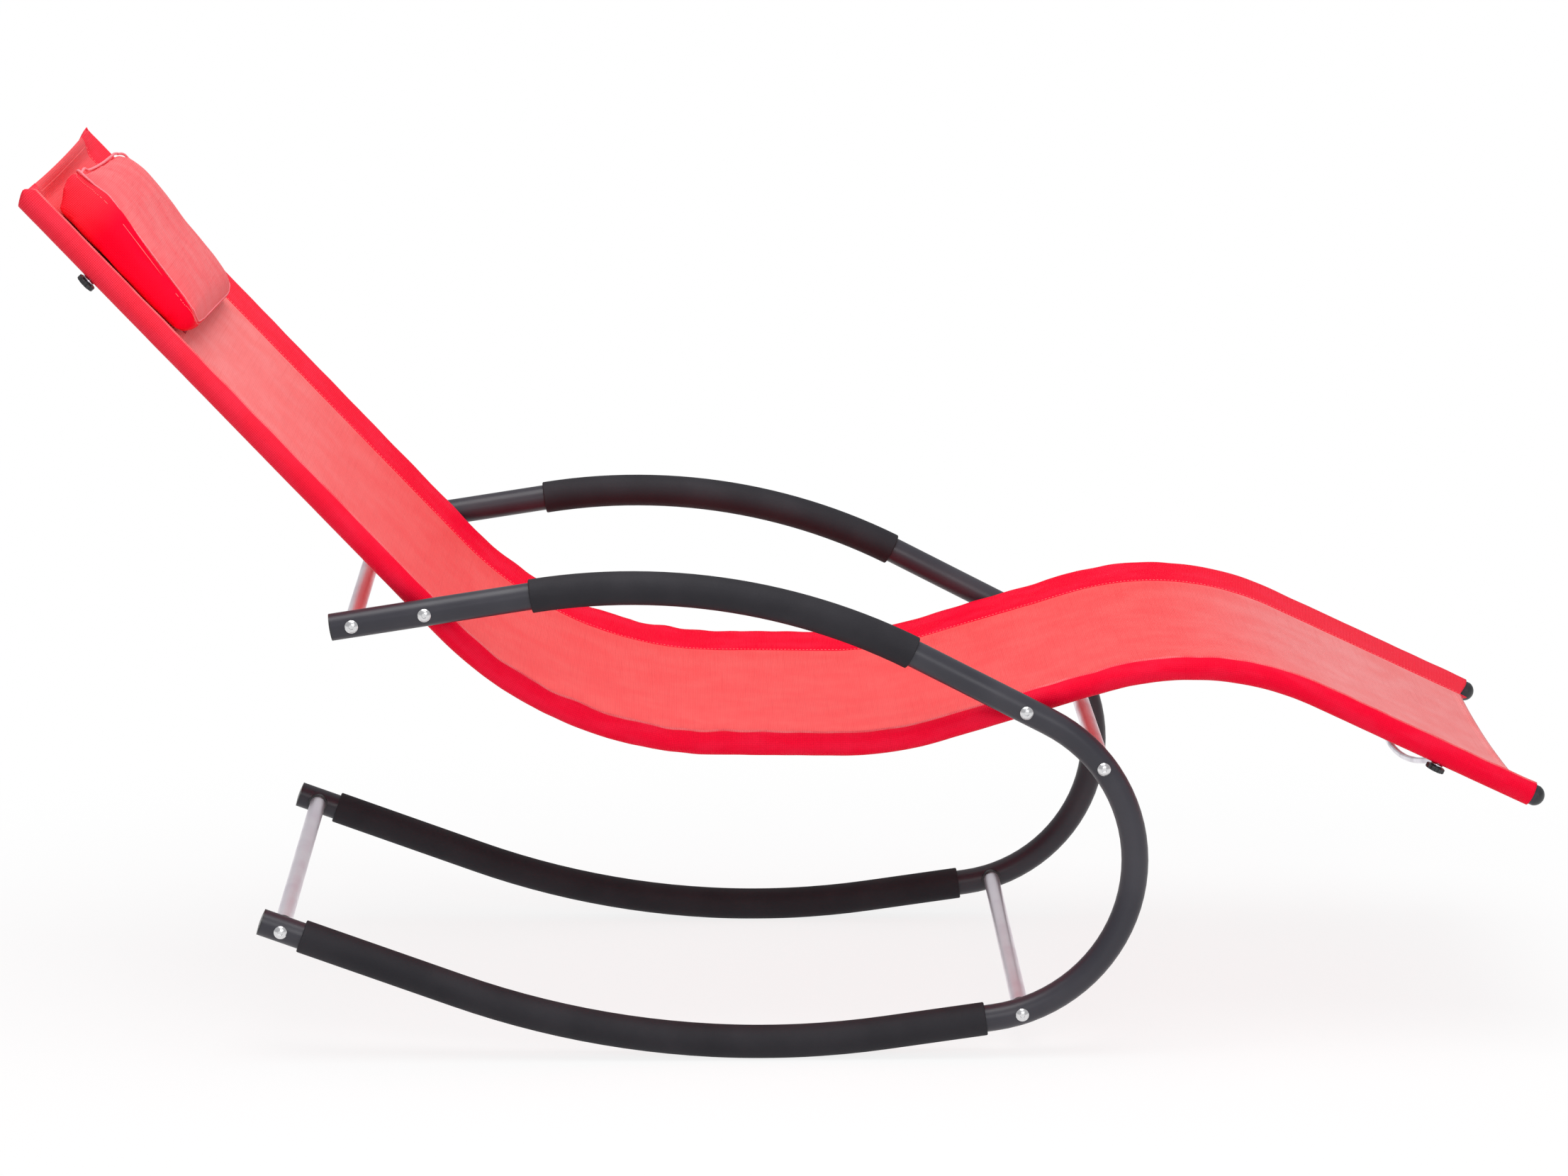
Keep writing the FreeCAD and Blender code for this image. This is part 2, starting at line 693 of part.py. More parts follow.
# Hook tapes sewn on the sling, loop tapes sewn on the pillow
hook_tapes = []
loop_tapes = []
for side in (1, -1):
    edges = (tape_spacing / 2 - tape_width / 2, tape_spacing / 2 + tape_width / 2)
    base = max(sheet_height(y) for y in edges) + tape_gap
    back_turn = FreeCAD.Rotation(along(-back_angle), Vector(0, 1, 0), normal(-back_angle), "XYZ")
    for group, length, begin, layer in (
            (hook_tapes, hook_tape_length, hook_tape_from_head, 0),
            (loop_tapes, loop_tape_length, pillow_from_head + pillow_length / 2 - loop_tape_length / 2, 1)):
        strip = Part.makeBox(length, tape_width, tape_thickness)
        corner = on_backrest(begin, side * tape_spacing / 2 - tape_width / 2,
                             base + layer * (tape_thickness + tape_gap))
        strip.Placement = FreeCAD.Placement(corner, back_turn)
        group.append(strip)
write("sling_hook_tapes", *hook_tapes)
write("pillow_loop_tapes", *loop_tapes)

# The pillow: a cover, blunt at the head, thin at the foot, crowned across and drawn in at its ends
pillow_base = base + 2 * tape_thickness + 2 * tape_gap


def pillow_section(y, share, inset, wall):
    """One slice of the pillow at a distance from its middle, drawn in all round by a wall."""
    begin = pillow_from_head + inset + wall
    end = pillow_from_head + pillow_length - inset - wall
    half = (begin + end) / 2
    base = pillow_base + wall
    rise = pillow_head_height * share - 2 * wall
    crown = pillow_middle_height * share - 2 * wall
    low_rise = pillow_foot_height * share - 2 * wall
    points = [
        on_backrest(begin + pillow_nose_height, y, base + pillow_nose_height),
        on_backrest(begin - pillow_head_bulge * share, y, base + rise * pillow_bulge_share),
        on_backrest(begin + pillow_head_round, y, base + rise),
        on_backrest(half, y, base + crown),
        on_backrest(end - pillow_foot_round, y, base + low_rise),
        on_backrest(end - pillow_nose_height, y, base + low_rise * pillow_bulge_share),
        on_backrest(end, y, base + pillow_nose_height),
        on_backrest(half, y, base),
    ]
    edges = []
    for first in (0, 2, 4, 6):
        last = (first + 2) % len(points)
        edges.append(Part.Arc(points[first], points[first + 1], points[last]).toShape())
    return Part.Wire(edges)


def pillow_body(wall):
    """The pillow's outside, or its inside when it is drawn in by a wall."""
    half_width = pillow_width / 2 - wall
    right_half = [
        (-half_width, pillow_side_share, pillow_nose_height),
        (-half_width + pillow_edge_radius, pillow_edge_share, 0),
        (-half_width / 2, pillow_quarter_share, 0),
    ]
    left_half = [(-y, share, inset) for y, share, inset in reversed(right_half)]
    slices = right_half + [(0, 1, 0)] + left_half
    return Part.makeLoft([pillow_section(*place, wall) for place in slices], True, False)


pillow = pillow_body(0).cut(pillow_body(pillow_cover))
write("headrest_pillow", pillow)
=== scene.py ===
import bmesh
import bpy
import math
from mathutils import Matrix, Vector, noise
from mathutils.bvhtree import BVHTree


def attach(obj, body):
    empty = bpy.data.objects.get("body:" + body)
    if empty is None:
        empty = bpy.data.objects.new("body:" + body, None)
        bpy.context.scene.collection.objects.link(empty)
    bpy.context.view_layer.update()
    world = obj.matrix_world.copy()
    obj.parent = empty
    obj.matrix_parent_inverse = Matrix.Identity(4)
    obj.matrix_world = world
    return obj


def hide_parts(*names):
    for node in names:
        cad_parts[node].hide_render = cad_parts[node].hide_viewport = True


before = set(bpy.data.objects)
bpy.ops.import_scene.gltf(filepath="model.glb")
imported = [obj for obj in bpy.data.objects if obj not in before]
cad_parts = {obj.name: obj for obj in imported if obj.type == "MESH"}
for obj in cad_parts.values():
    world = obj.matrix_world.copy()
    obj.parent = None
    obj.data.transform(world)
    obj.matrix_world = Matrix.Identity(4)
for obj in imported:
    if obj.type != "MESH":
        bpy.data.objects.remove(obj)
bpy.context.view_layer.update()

# Side hoops
# Each side is one steel tube, bent into armrest, front bend and rocker in one, and powder
# coated in a dark satin anthracite. The coat has a fine orange peel and thin dust on top.


class Value:
    """One output of a material's node, which can be used in plain sums."""

    def __init__(self, finish, socket):
        self.finish = finish
        self.socket = socket

    def __add__(self, other):
        return self.finish.maths("ADD", self, other)

    def __sub__(self, other):
        return self.finish.maths("SUBTRACT", self, other)

    def __rsub__(self, other):
        return self.finish.maths("SUBTRACT", other, self)

    def __mul__(self, other):
        return self.finish.maths("MULTIPLY", self, other)

    def __pow__(self, other):
        return self.finish.maths("POWER", self, other)

    def __gt__(self, other):
        return self.finish.maths("GREATER_THAN", self, other)

    def __abs__(self):
        return self.finish.maths("ABSOLUTE", self)

    __radd__ = __add__


class Finish:
    """A material, with its Principled shader and the nodes that feed it."""

    def __init__(self, name, **constants):
        self.material = bpy.data.materials.new(name)
        self.material.use_nodes = True
        self.tree = self.material.node_tree
        self.shader = self.tree.nodes["Principled BSDF"]
        for key, value in constants.items():
            self.shader.inputs[key.replace("_", " ")].default_value = value

    def node(self, kind, settings=None, sockets=None, output=0):
        """Adds a node: its settings first, then the values or links of its sockets."""
        made = self.tree.nodes.new("ShaderNode" + kind)
        for key, value in (settings or {}).items():
            setattr(made, key, value)
        for key, value in (sockets or {}).items():
            if isinstance(value, Value):
                self.tree.links.new(value.socket, made.inputs[key])
            else:
                made.inputs[key].default_value = value
        return Value(self, made.outputs[output])

    def maths(self, operation, *terms):
        return self.node("Math", {"operation": operation}, dict(enumerate(terms)))

    def smooth(self, value, low, high):
        return self.node("MapRange", {"interpolation_type": "SMOOTHSTEP"},
                         {"Value": value, "From Min": low, "From Max": high})

    def mix(self, share, first, second):
        """A colour between two colours."""
        colours = [c if isinstance(c, Value) else (*c, 1) for c in (first, second)]
        return self.node("Mix", {"data_type": "RGBA"}, {0: share, 6: colours[0], 7: colours[1]}, 2)

    def place(self):
        return self.node("TexCoord", None, None, 3)

    def noise(self, scale, detail=2.0, stretch=(1, 1, 1), place=None):
        place = place or self.place()
        if stretch != (1, 1, 1):
            place = self.node("Mapping", None, {"Vector": place, "Scale": stretch})
        return self.node("TexNoise", None, {"Vector": place, "Scale": scale, "Detail": detail})

    def feed(self, **values):
        for key, value in values.items():
            self.tree.links.new(value.socket, self.shader.inputs[key.replace("_", " ")])

    def bump(self, height, strength, distance=0.001):
        self.feed(Normal=self.node("Bump", None, {
            "Strength": strength, "Distance": distance, "Height": height}))


def dress(finish, *nodes):
    """Gives CAD nodes their material."""
    for name in nodes:
        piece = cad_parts[name]
        if not piece.material_slots:
            piece.data.materials.append(finish.material)
        for slot in piece.material_slots:
            slot.material = finish.material


def pair(name):
    return "right_" + name, "left_" + name


paint = Finish("anthracite_powder_coat", Specular_IOR_Level=0.4)
dust = paint.smooth(paint.noise(9.0, 6.0), 0.35, 0.75)
paint.feed(
    Base_Color=paint.mix(dust, (0.026, 0.025, 0.034), (0.042, 0.04, 0.05)),
    Roughness=paint.noise(26.0, 4.0) * 0.16 + 0.3,
)
paint.bump(paint.noise(1400.0, 2.0), 0.12, 0.0004)
dress(paint, *pair("side_hoop"))

# Foam sleeves
# Closed-cell foam tubes slipped over the arms, and over the rockers where they meet the floor.
# They are matte, with fine pores and the soft flow lines of the extrusion along them.
foam = Finish("sleeve_foam", Specular_IOR_Level=0.22)
pores = foam.noise(900.0, 3.0)
flow = foam.noise(60.0, 3.0, (0.2, 6.0, 1.0))
foam.feed(
    Base_Color=foam.mix(foam.smooth(foam.noise(14.0, 5.0), 0.3, 0.8),
                        (0.017, 0.016, 0.02), (0.028, 0.026, 0.031)),
    Roughness=pores * 0.15 + 0.6,
)
foam.bump(pores * 0.6 + flow, 0.3, 0.0008)
dress(foam, *pair("rocker_sleeve"), *pair("arm_sleeve"))

# End plugs, saddles, spacers
# Moulded black polyethylene: domed plugs pressed into the tube ends, saddles between the flat
# bar ends and the round hoops, and spacers that hold the seat rails off the hoops.
plastic = Finish("moulded_black_plastic")
plastic.feed(
    Base_Color=plastic.mix(plastic.noise(40.0, 3.0), (0.014, 0.014, 0.016), (0.024, 0.024, 0.027)),
    Roughness=plastic.noise(120.0, 3.0) * 0.2 + 0.26,
)
plastic.bump(plastic.noise(700.0, 2.0), 0.1, 0.0005)
dress(plastic, *pair("rocker_end_plug"), *pair("arm_end_plug"), *pair("foot_plug"),
      *pair("head_plug"), "seat_spacers")
bars = ("rear_lower", "front_lower", "front_upper", "rear_upper")
dress(plastic, *[bar + "_saddles" for bar in bars])

# Cross bars
# Four straight aluminium tubes tie the hoops together. They are drawn and polished along their
# length, with a faint haze on top.
drawn_bar = Finish("drawn_metal", Metallic=1.0)
drawn = drawn_bar.noise(220.0, 3.0, (1.0, 0.02, 1.0))
haze = drawn_bar.smooth(drawn_bar.noise(18.0, 4.0), 0.4, 0.8)
drawn_bar.feed(
    Base_Color=drawn_bar.mix(haze, (0.98, 0.94, 0.99), (0.9, 0.86, 0.93)),
    Roughness=drawn * 0.12 + haze * 0.1 + 0.3,
)
drawn_bar.bump(drawn, 0.08, 0.0003)
dress(drawn_bar, *[bar + "_crossbar" for bar in bars])

# Screws and threaded parts
# Zinc-plated button heads with a hex recess, and the inserts and rivet nuts that they go into.
# The inserts sit in the ends of the cross bars, and the rivet nuts in the seat rails.
zinc = Finish("bright_zinc", Metallic=1.0)
grit = zinc.noise(500.0, 3.0)
zinc.feed(
    Base_Color=zinc.mix(grit, (0.8, 0.8, 0.8), (0.66, 0.66, 0.68)),
    Roughness=grit * 0.16 + 0.16,
)
dress(zinc, "crossbar_screws", "seat_screws", "seat_rivet_nuts", "spreader_rivet_nuts",
      *[bar + "_bar_inserts" for bar in bars])

# Seat rails
# Two bent steel tubes, coated like the hoops, that run inside the hems of the sling. Each is
# bolted to its hoop through a spacer, at the arm and at the front bend.
dress(paint, *pair("seat_rail"))

# Star knobs
# Moulded star knobs on studs, which clamp the spreaders' flat ends to the rails from below.
# They are black, with the slight gloss of their mould.
knob = Finish("knob_plastic")
knob.feed(
    Base_Color=knob.mix(knob.noise(60.0, 3.0), (0.016, 0.016, 0.018), (0.03, 0.03, 0.033)),
    Roughness=knob.noise(200.0, 3.0) * 0.16 + 0.24,
)
knob.bump(knob.noise(900.0, 2.0), 0.12, 0.0004)
dress(knob, *[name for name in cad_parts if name.endswith("_knob")])

# Sling
# One sheet of woven, plastic-coated polyester yarn. Its long edges are turned under and sewn
# into hems round the rails; the hems are closed at the head, and cut back in the middle at the
# foot. A strip across the head is folded and sewn down.
RAIL_START = Vector((-0.786477, 0.0, 0.915419))
RAIL_SLOPE = -46.9
RAIL_RUNS = ((0.618, 0), (0.402, 46.2), (0.127, 0), (0.342, 17.4), (0.183, 0), (0.322, -42.0),
             (0.2565, 0))
RAIL_Y = 0.25
HEM_RADIUS = 0.0126
SEAM_INBOARD = 0.042
SLING_SAG = 0.005
HEAD_OVERHANG = 0.009
FOOT_INSET = 0.004
HEAD_BAND = 0.040
FOOT_EDGE = 0.010
CLOSING_REACH = 0.015
PULLED_UP = 0.009
PINCH_RUN = 0.0065
NEAR_TIP = 0.005
CLOTH_THICKNESS = 0.001
THREAD_PITCH = 0.0019
# middle and width, along the rails, of the places where the cloth gathers or sags more
HIP = (0.84, 0.16)
THIGH = (1.30, 0.12)
KNEE = (1.35, 0.15)


def rail_at(distance):
    """Point, direction and upward normal of the rails' common line, at a distance from the head."""
    point, slope = RAIL_START, math.radians(RAIL_SLOPE)
    for index, (size, turn) in enumerate(RAIL_RUNS):
        last = index == len(RAIL_RUNS) - 1
        turn = math.radians(turn)
        length = size * abs(turn) if turn else size
        share = distance if last or distance < length else length
        ahead = Vector((math.cos(slope), 0, math.sin(slope)))
        up = Vector((-math.sin(slope), 0, math.cos(slope)))
        if turn:
            swing = turn * share / length
            centre = point + up * math.copysign(size, turn)
            slope += swing
            up = Vector((-math.sin(slope), 0, math.cos(slope)))
            ahead = Vector((math.cos(slope), 0, math.sin(slope)))
            point = centre - up * math.copysign(size, turn)
        else:
            point = point + ahead * share
        if last or distance < length:
            return point, ahead, up
        distance -= length


RAIL_LENGTH = sum(size * math.radians(abs(turn)) if turn else size for size, turn in RAIL_RUNS)
hem_lean = math.asin(HEM_RADIUS / SEAM_INBOARD)
hem_slope_run = SEAM_INBOARD * math.cos(hem_lean)
hem_wrap = HEM_RADIUS * (math.pi + 2 * hem_lean)
half_sheet = RAIL_Y - SEAM_INBOARD
half_cloth = half_sheet + 2 * hem_slope_run + hem_wrap
hem_crest = half_sheet + hem_slope_run


def across(w):
    """Where the cloth lies at a distance w from its middle line: outward, up, and if it is hem."""
    reach = abs(w)
    if reach <= half_sheet:
        return w, 0.0, 0.0
    reach -= half_sheet
    if reach <= hem_slope_run:
        y = half_sheet + reach * math.cos(hem_lean)
        z = reach * math.sin(hem_lean)
    elif reach <= hem_slope_run + hem_wrap:
        angle = math.pi / 2 + hem_lean - (reach - hem_slope_run) / HEM_RADIUS
        y = RAIL_Y + HEM_RADIUS * math.cos(angle)
        z = HEM_RADIUS * math.sin(angle)
    else:
        back = reach - hem_slope_run - hem_wrap
        y = half_sheet + (hem_slope_run - back) * math.cos(hem_lean)
        z = -(hem_slope_run - back) * math.sin(hem_lean)
    return math.copysign(y, w), z, 1.0


def ease(value, low, high):
    """A smooth step from 0 at low to 1 at high."""
    share = min(max((value - low) / (high - low), 0.0), 1.0)
    return share * share * (3 - 2 * share)


def hump(value, middle, width):
    """A smooth bump that is 1 at its middle."""
    return math.exp(-((value - middle) / width) ** 2)


def cloth_point(w, s):
    """A place on the sling, from its place on the flat cut, in metres."""
    y, z, hem = across(w)
    reach = abs(w)
    near_end = 1 - ease(s, -HEAD_OVERHANG, CLOSING_REACH)
    # the sheet is pulled up to the tops of the hems where they are closed
    pulled_up = PULLED_UP * near_end
    if reach < hem_crest:
        z += pulled_up * (1 - z / HEM_RADIUS)
    # each hem is pinched shut over the end of its rail
    if hem and s < PINCH_RUN - HEAD_OVERHANG:
        share = min(1.0, (PINCH_RUN - HEAD_OVERHANG - s) / PINCH_RUN)
        open_part = (1 - share) ** 0.65
        tip = HEM_RADIUS if w > 0 else NEAR_TIP
        rising = min(1.0, max(0.0, (abs(y) - half_sheet) / (SEAM_INBOARD * 0.6)))
        top = pulled_up + (tip - pulled_up) * rising
        z = top + (z - top) * (0.05 + 0.95 * open_part)
    s_place = s + 0.002 * (1 - (min(abs(y), RAIL_Y) / RAIL_Y) ** 2) * near_end
    s_place -= 0.003 * ease(abs(y), RAIL_Y - 0.002, RAIL_Y + 0.012) * near_end
    point, ahead, up = rail_at(max(s_place, 0.0))
    if s_place < 0:
        point = point + ahead * s_place
    if reach < half_sheet:
        sag = SLING_SAG + 0.004 * hump(s, *THIGH)
        z -= sag * (1 - (w / half_sheet) ** 2) * (1 - 0.7 * near_end)
        z += 0.0012 * noise.noise(Vector((w * 7, s * 4, 0.3))) * ease(half_sheet - reach, 0, 0.05)
        z += 0.0009 * (1 - ease(s, HEAD_BAND - 0.001, HEAD_BAND + 0.001))
        z += 0.0009 * ease(s, hem_end - FOOT_EDGE - 0.010, hem_end - FOOT_EDGE - 0.008)
    z -= 0.0005 * hump(reach, half_sheet, 0.003)
    # the hem is pulled into short ripples where the rail is bent
    side = math.copysign(3.0, w)
    hip = hump(s, *HIP)
    knee = hump(s, *KNEE)
    if hem:
        along_crest = noise.noise(Vector((side, s * 30, reach * 8)))
        fine = noise.noise(Vector((side + 5, s * 60, reach * 50)))
        z += (0.0005 + 0.0032 * hip + 0.0008 * knee) * along_crest * ease(z, -0.002, 0.010)
        y += (0.0005 + 0.0016 * hip + 0.0010 * knee) * (fine + along_crest)
    return point + up * z + Vector((0, y, 0))


def spread(stops, counts):
    """Places between stops, evenly spaced in each gap, and all of them in order."""
    places = [stops[0]]
    for low, high, count in zip(stops, stops[1:], counts):
        places += [low + (high - low) * (i + 1) / count for i in range(count)]
    return places


side_stops = [half_sheet, hem_crest, hem_crest + hem_wrap, half_cloth]
outer = spread(side_stops, [9, 16, 9])
columns = [-w for w in reversed(outer)] + spread([-half_sheet, half_sheet], [36])[1:-1] + outer
hem_end = RAIL_LENGTH - FOOT_INSET
cloth_length = hem_end + HEAD_OVERHANG
rows = [place / cloth_length for place in spread(
    [0.0, 0.009, 0.030, 0.055, cloth_length - 0.06, cloth_length], [12, 12, 12, 290, 30])]


def lattice(name, across_places, along_places):
    """A grid with one vertex for each pair of places, flat on the floor until it is shaped."""
    made = bmesh.new()
    bmesh.ops.create_grid(made, x_segments=len(across_places) - 1,
                          y_segments=len(along_places) - 1, size=1)
    xs = sorted({round(v.co.x, 5) for v in made.verts})
    ys = sorted({round(v.co.y, 5) for v in made.verts})
    if len(xs) != len(across_places) or len(ys) != len(along_places):
        raise SystemExit(f"{name}: grid of {len(xs)} by {len(ys)}")
    columns_at = dict(zip(xs, across_places))
    rows_at = dict(zip(ys, along_places))
    cut = [(v, columns_at[round(v.co.x, 5)], rows_at[round(v.co.y, 5)]) for v in made.verts]
    return made, cut


def keep_piece(name, shape, finish, smooth=True):
    """Turns a bmesh into a finished piece with its place in its mesh."""
    mesh = bpy.data.meshes.new(name)
    shape.to_mesh(mesh)
    shape.free()
    piece = bpy.data.objects.new(name, mesh)
    bpy.context.scene.collection.objects.link(piece)
    mesh.materials.append(finish.material)
    mesh.polygons.foreach_set("use_smooth", [smooth] * len(mesh.polygons))
    return piece


def bake(piece):
    """Applies what the modifiers make of a piece."""
    shown = piece.evaluated_get(bpy.context.evaluated_depsgraph_get())
    mesh = bpy.data.meshes.new_from_object(shown)
    piece.modifiers.clear()
    piece.data = mesh


def thicken(piece, name, thickness):
    """Gives a thin piece its thickness, half of it to each side."""
    shell = piece.modifiers.new(name, "SOLIDIFY")
    shell.thickness = thickness
    shell.offset = 0


cloth, cut = lattice("sling", columns, rows)
places = {}
for vertex, w, t in cut:
    reach = abs(w)
    inset = FOOT_EDGE * (1 - ease(reach, half_sheet - 0.012, hem_crest))
    if reach > hem_crest + hem_wrap:
        inset = 0.0
    s = t * cloth_length - HEAD_OVERHANG - inset * t ** 8
    places[vertex] = (w, s)
    vertex.co = cloth_point(w, s)
cut_map = cloth.loops.layers.uv.new("cut")
for face in cloth.faces:
    for loop in face.loops:
        loop[cut_map].uv = places[loop.vert]
bmesh.ops.recalc_face_normals(cloth, faces=cloth.faces)

weave = Finish("woven_mesh", Specular_IOR_Level=0.07)


def woven(finish, u, v, pitch):
    """Height of a plain weave, where threads pass over and under each other, and its open holes."""
    warp_wave = finish.maths("SINE", u * (math.pi / pitch))
    weft_wave = finish.maths("SINE", v * (math.pi / pitch))
    warp, weft = abs(warp_wave), abs(weft_wave)
    over = finish.smooth(warp_wave * weft_wave, -0.25, 0.25)
    return over * warp + (1 - over) * weft, 1 - warp * weft


cut_place = weave.node("UVMap", {"uv_map": "cut"})
w_place, s_place = [weave.node("SeparateXYZ", None, {0: cut_place}, index) for index in (0, 1)]
thread, holes = woven(weave, w_place, s_place, THREAD_PITCH)
far_out = abs(w_place)
doubled = weave.smooth(far_out, half_sheet - 0.001, half_sheet + 0.001)
folded = weave.smooth(s_place, HEAD_BAND + 0.001, HEAD_BAND - 0.001)
slubs = weave.noise(1.0, 2.0, (9.0, 520.0, 1.0), cut_place) - 0.5
mottle = weave.smooth(weave.noise(24.0, 5.0), 0.3, 0.75)
patches = weave.smooth(weave.noise(1.0, 4.0, (60.0, 16.0, 1.0), cut_place), 0.42, 0.66)
# painted sheen: the sheet is made paler pink towards the head and towards the foot, where the top
# light glances off the threads
painted_head_sheen = weave.smooth(s_place, 0.62, 0.1)
painted_foot_sheen = weave.smooth(s_place, 1.42, 1.68)
# the single sheet is given a paler pink than the deep red of the doubled hems: partly its thinner
# cloth, partly painted sheen from the top light
single_layer_and_sheen = weave.mix(painted_head_sheen * 0.9 + painted_foot_sheen,
                   weave.mix(mottle, (0.93, 0.10, 0.10), (0.94, 0.13, 0.125)),
                   weave.mix(mottle, (0.93, 0.27, 0.265), (0.95, 0.34, 0.335)))
single_layer_and_sheen = weave.mix(folded, single_layer_and_sheen, (0.88, 0.105, 0.12))
double = weave.mix(patches, (0.94, 0.0, 0.032), (0.95, 0.008, 0.048))
far_side = w_place > 0.0
# painted sheen on the hems' threads: at the head on both hems, at the foot on the far hem only
double = weave.mix((painted_head_sheen + painted_foot_sheen * far_side) * (0.05 + thread * 0.32),
                   double, (0.95, 0.13, 0.15))
# painted highlight: a thin pale line along the crest of the near hem only, broken up by noise and
# stronger on the threads
crest_glint_breakup = weave.smooth(weave.noise(1.0, 3.0, (30.0, 40.0, 1.0), cut_place), 0.3, 0.6)
crest = weave.smooth(abs(far_out - (hem_crest + 0.0045)), 0.0044, 0.0026) * (1 - far_side)
double = weave.mix(crest * (crest_glint_breakup * 0.2 + thread * 0.35), double, (0.97, 0.42, 0.4))
base = weave.mix(doubled, single_layer_and_sheen, double)
# painted shade in the open holes between the threads, deeper on the doubled hems, plus darker thick
# yarns
depth = holes * (0.22 + doubled * 0.2) + weave.maths("MAXIMUM", slubs, 0.0) * 0.5
weave.feed(
    Base_Color=weave.mix(depth, base, (0.62, 0.0, 0.012)),
    Roughness=0.66 - thread * 0.22,
)
weave.bump(thread + slubs * 0.6, 0.5, 0.0006)

sling = keep_piece("sling", cloth, weave)
thicken(sling, "cloth_thickness", CLOTH_THICKNESS)
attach(sling, "frame")
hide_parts("seat_sling")

# Spreaders
# Two thin plated steel rods, each bent into a shallow arch and hammered flat at both ends, with
# a hole in each flat for the stud of a star knob.
SPREADER_HALF = 0.227
SPREADER_DROP = 0.038
SPREADER_UNDER = 0.0139
SPREADER_PLACES = (("head", 0.101), ("foot", RAIL_LENGTH - 0.1095))
ROUND_TIP = 0.007
SPREADER_TIP = RAIL_Y + ROUND_TIP
ROD_RADIUS = 0.0034
FLAT_WIDER = 0.0032
FLAT_THINNER = 0.0024
STUD_HOLE_RADIUS = 0.0033

chrome = Finish("plated_rod", Metallic=1.0)
fog = chrome.smooth(chrome.noise(30.0, 4.0), 0.35, 0.8)
chrome.feed(
    Base_Color=chrome.mix(fog, (0.74, 0.7, 0.77), (0.55, 0.52, 0.58)),
    Roughness=fog * 0.12 + chrome.noise(260.0, 3.0, (1.0, 0.03, 1.0)) * 0.08 + 0.14,
)


def spreader_place(turn, y, distance):
    """A place on the rod's skin, from the turn round the rod and the place across the chair."""
    out = abs(y)
    flat = ease(out, SPREADER_HALF - 0.006, SPREADER_HALF + 0.008)
    half_width = ROD_RADIUS + FLAT_WIDER * flat
    half_height = ROD_RADIUS - FLAT_THINNER * flat
    if out > RAIL_Y:
        half_width *= math.sqrt(max(0.0, 1 - ((out - RAIL_Y) / ROUND_TIP) ** 2))
    drop = SPREADER_DROP * (1 - min(out / SPREADER_HALF, 1.0) ** 2)
    point, ahead, up = rail_at(distance)
    edge = math.copysign(abs(math.sin(turn)) ** (1 - 0.5 * flat), math.sin(turn))
    return point + ahead * (math.cos(turn) * half_width) + up * (
        edge * half_height - drop - SPREADER_UNDER) + Vector((0, y, 0))


for end, distance in SPREADER_PLACES:
    turns = [2 * math.pi * i / 24 for i in range(25)]
    ys = spread([-SPREADER_TIP, -RAIL_Y, -SPREADER_HALF, SPREADER_HALF, RAIL_Y, SPREADER_TIP],
                [10, 14, 90, 14, 10])
    rod, cut = lattice(end + "_rod", turns, ys)
    for vertex, turn, y in cut:
        vertex.co = spreader_place(turn, y, distance)
    bmesh.ops.remove_doubles(rod, verts=rod.verts, dist=0.00001)
    bmesh.ops.recalc_face_normals(rod, faces=rod.faces)
    piece = keep_piece(end + "_spreader_rod", rod, chrome)
    holes_mesh = bmesh.new()
    for sign in (-1, 1):
        point, ahead, up = rail_at(distance)
        centre = point - up * SPREADER_UNDER + Vector((0, sign * RAIL_Y, 0))
        upright = up.to_track_quat("Z", "X").to_matrix().to_4x4()
        bmesh.ops.create_cone(holes_mesh, cap_ends=True, segments=32, radius1=STUD_HOLE_RADIUS,
                              radius2=STUD_HOLE_RADIUS, depth=0.006,
                              matrix=Matrix.Translation(centre) @ upright)
    drill = keep_piece("drill", holes_mesh, chrome, False)
    bore = piece.modifiers.new("stud_holes", "BOOLEAN")
    bore.operation = "DIFFERENCE"
    bore.solver = "EXACT"
    bore.object = drill
    bake(piece)
    bpy.data.objects.remove(drill)
    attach(piece, "frame")
    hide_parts(end + "_spreader")

# Seams of the sling
# Both hems, the band across the head and the foot edge are closed by rows of lockstitch in a
# thick polyester thread that is a little paler than the cloth.
stitching = Finish("seam_thread", Specular_IOR_Level=0.3)
ply = stitching.noise(2600.0, 2.0)
stitching.feed(
    Base_Color=stitching.mix(ply, (0.93, 0.12, 0.13), (0.95, 0.28, 0.28)),
    Roughness=ply * 0.2 + 0.45,
)
STITCH = 0.0042
STITCH_SHARE = 0.36
STITCH_WIDTH = 0.0004
STITCH_HEIGHT = 0.0003
STITCH_LIFT = 0.0006
NEARBY = 0.001


def stitch_row(shape, places):
    """One small flat stitch between each two neighbours in a row of places on the cloth."""
    stitch = bpy.data.meshes.new("stitch")
    for (start, up), (end, _) in zip(places, places[1:]):
        ahead = end - start
        side = up.cross(ahead).normalized()
        onward = ahead.normalized()
        turn = Matrix((onward, side, onward.cross(side))).transposed().to_4x4()
        size = Matrix.Diagonal((ahead.length * STITCH_SHARE, STITCH_WIDTH, STITCH_HEIGHT, 1))
        spot = Matrix.Translation((start + end) / 2) @ turn @ size
        bead = bmesh.new()
        bmesh.ops.create_uvsphere(bead, u_segments=6, v_segments=4, radius=1, matrix=spot)
        bead.to_mesh(stitch)
        bead.free()
        shape.from_mesh(stitch)
    bpy.data.meshes.remove(stitch)


